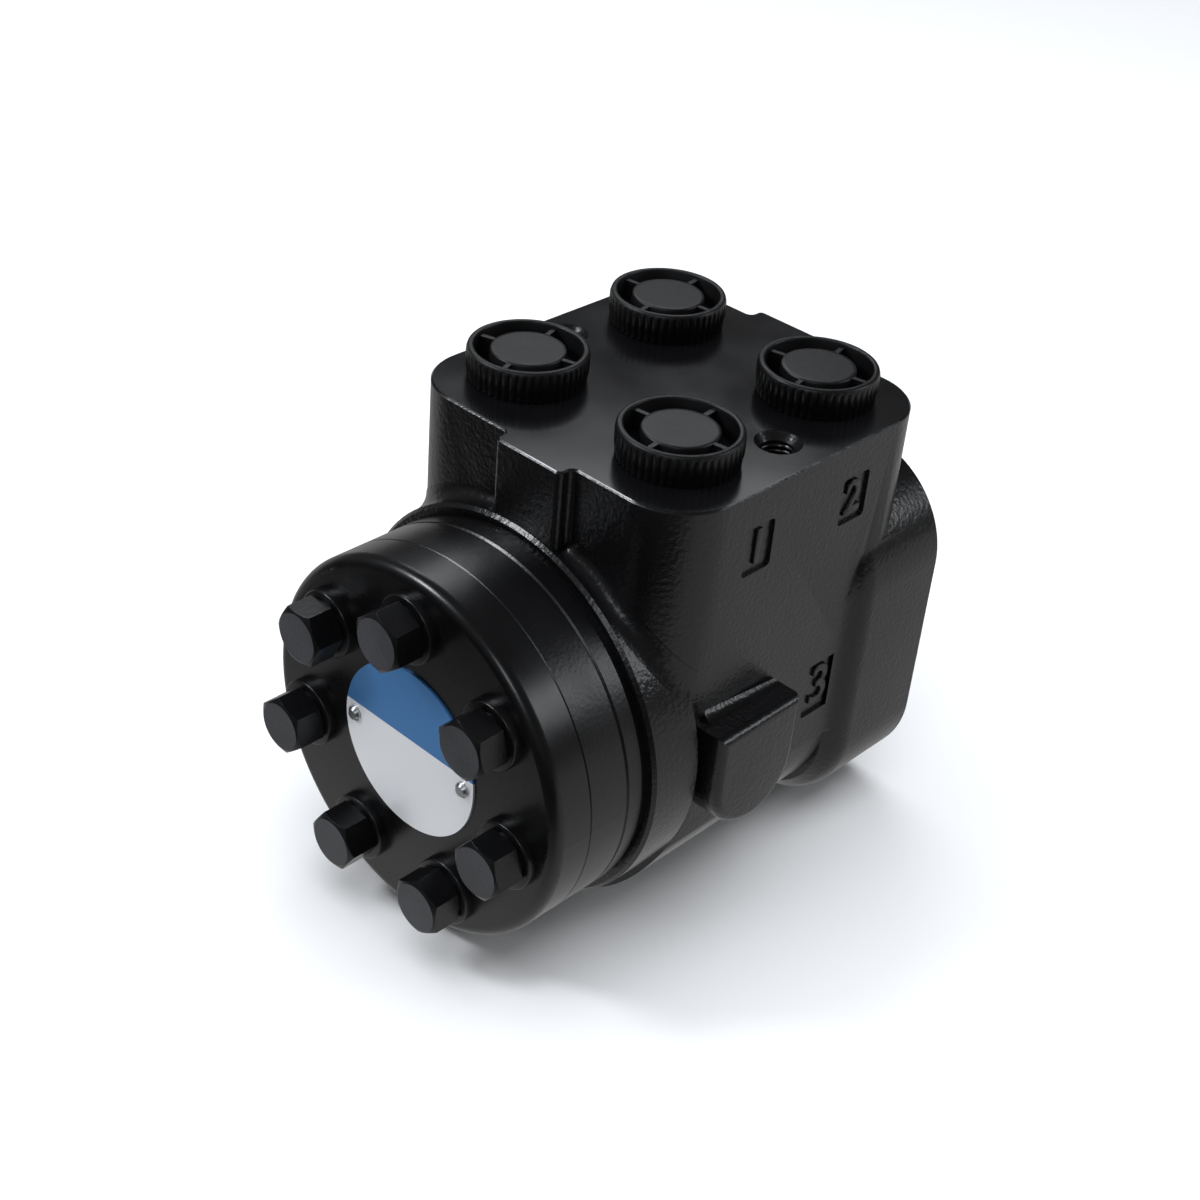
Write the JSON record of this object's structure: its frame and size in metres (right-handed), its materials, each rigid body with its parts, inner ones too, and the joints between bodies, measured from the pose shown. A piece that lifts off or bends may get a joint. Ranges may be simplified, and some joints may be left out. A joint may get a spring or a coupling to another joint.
{
  "type": "orbital steering unit",
  "caption": "Hydrostatic steering unit with a gerotor set, spool and sleeve, cardan drive and a plugged port face on a cast body.",
  "frame": {"origin": "middle of the column mounting face, on the shaft axis", "axes": "+Y out of the column face along the shaft, +Z to the port face, +X to the valve boss side"},
  "size_m": [0.1138, 0.1565, 0.1382],
  "materials": {
    "black_casting": "semi-gloss paint over cast iron",
    "black_steel": "semi-gloss paint over turned steel",
    "black_ring": "semi-gloss paint over turned steel",
    "black_fastener": "gloss paint over steel",
    "rubber": "matt",
    "plate_sheet": "printed foil, blue over silver",
    "rivet_metal": "satin",
    "ground_steel": "ground",
    "dark_steel": "hardened, oiled",
    "spring_steel": "rolled",
    "plug_plastic": "semi-gloss moulded plastic"
  },
  "bodies": {
    "housing": {"housing": "black_casting", "end_cover": "black_steel", "stator_ring": "black_ring", "spacer_plate": "black_ring", "cover_bolts": "black_fastener", "bolt_washers": "black_fastener", "oring_cover": "rubber", "oring_plate": "rubber", "oring_housing": "rubber", "name_plate": "plate_sheet", "plate_rivets": "rivet_metal", "race_outer": "ground_steel", "shaft_seal": "rubber", "dust_seal": "rubber"},
    "control_sleeve": {"sleeve": "ground_steel", "spring_ring": "spring_steel", "cross_pin": "ground_steel", "leaf_springs": "spring_steel", "race_inner": "ground_steel"},
    "control_spool": {"spool": "ground_steel"},
    "orbit_spacer": {"orbit_spacer": "ground_steel"},
    "rotor": {"rotor": "ground_steel"},
    "cardan": {"cardan": "dark_steel"},
    "bearing_cage": {"bearing_cage": "spring_steel", "bearing_needles": "ground_steel"},
    "port_plug_1": {"port_plug_1": "plug_plastic"},
    "port_plug_2": {"port_plug_2": "plug_plastic"},
    "port_plug_3": {"port_plug_3": "plug_plastic"},
    "port_plug_4": {"port_plug_4": "plug_plastic"}
  },
  "joints": [
    {"name": "sleeve_turn", "type": "hinge", "parent": "housing", "child": "control_sleeve", "pos_m": [0, -0.06, 0], "axis": [0, 1, 0], "continuous": true},
    {"name": "spool_swing", "type": "hinge", "parent": "control_sleeve", "child": "control_spool", "pos_m": [0, -0.036, 0], "axis": [0, 1, 0], "range_deg": [-8, 8], "stiffness_Nm_per_rad": 4, "deforming": ["leaf_springs"]},
    {"name": "rotor_orbit", "type": "hinge", "parent": "housing", "child": "orbit_spacer", "pos_m": [0, -0.1268, 0], "axis": [0, 1, 0], "continuous": true},
    {"name": "rotor_spin", "type": "hinge", "parent": "orbit_spacer", "child": "rotor", "pos_m": [0, -0.1268, 0.003], "axis": [0, 1, 0], "continuous": true},
    {"name": "cardan_spin", "type": "hinge", "parent": "orbit_spacer", "child": "cardan", "pos_m": [0, -0.036, 0], "axis": [0, 0.9994, -0.0336], "continuous": true},
    {"name": "bearing_cage_turn", "type": "hinge", "parent": "housing", "child": "bearing_cage", "pos_m": [0, -0.0143, 0], "axis": [0, 1, 0], "continuous": true},
    {"name": "port_plug_1_lift", "type": "slide", "parent": "housing", "child": "port_plug_1", "axis": [0, 0, 1], "range_m": [0, 0.04]},
    {"name": "port_plug_2_lift", "type": "slide", "parent": "housing", "child": "port_plug_2", "axis": [0, 0, 1], "range_m": [0, 0.04]},
    {"name": "port_plug_3_lift", "type": "slide", "parent": "housing", "child": "port_plug_3", "axis": [0, 0, 1], "range_m": [0, 0.04]},
    {"name": "port_plug_4_lift", "type": "slide", "parent": "housing", "child": "port_plug_4", "axis": [0, 0, 1], "range_m": [0, 0.04]}
  ],
  "couplings": [
    {"joint": "rotor_orbit", "follows": "sleeve_turn", "ratio": -6},
    {"joint": "rotor_spin", "follows": "sleeve_turn", "ratio": 7},
    {"joint": "cardan_spin", "follows": "sleeve_turn", "ratio": 7},
    {"joint": "bearing_cage_turn", "follows": "sleeve_turn", "ratio": 0.5}
  ]
}
